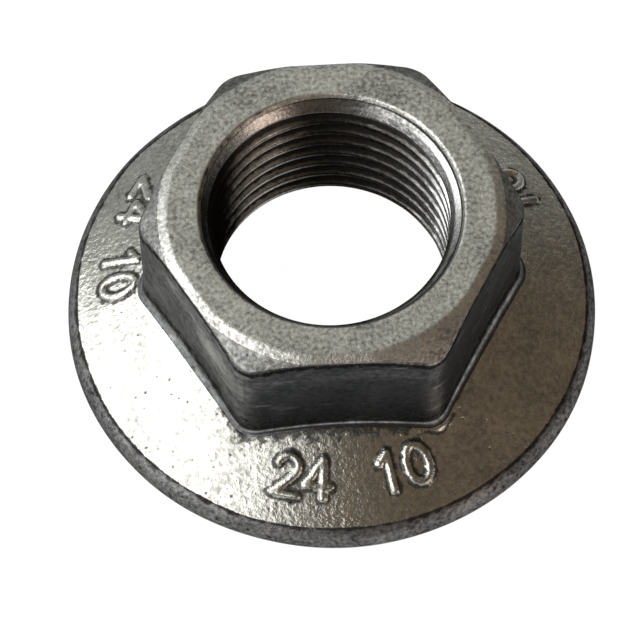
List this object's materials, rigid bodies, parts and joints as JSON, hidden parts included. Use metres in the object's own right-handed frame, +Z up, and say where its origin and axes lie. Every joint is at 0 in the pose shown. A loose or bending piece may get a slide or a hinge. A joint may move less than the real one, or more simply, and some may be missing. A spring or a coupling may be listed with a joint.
{
  "type": "flange nut",
  "caption": "Forged steel hub nut with a spanner hexagon on a wide conical flange, a fine thread right through and a recessed flat seat underneath.",
  "frame": {"origin": "middle of the flat seat under the flange, on the thread's axis", "axes": "+Z up the thread's axis from the seat towards the hexagon; one flat of the hexagon faces -Y"},
  "size_m": [0.0516, 0.0516, 0.0204],
  "materials": {
    "plated_steel": "zinc-plated forging, satin and finely pitted, with scuffed flats and edges"
  },
  "bodies": {
    "root": {"flange_nut": "plated_steel"}
  },
  "joints": []
}
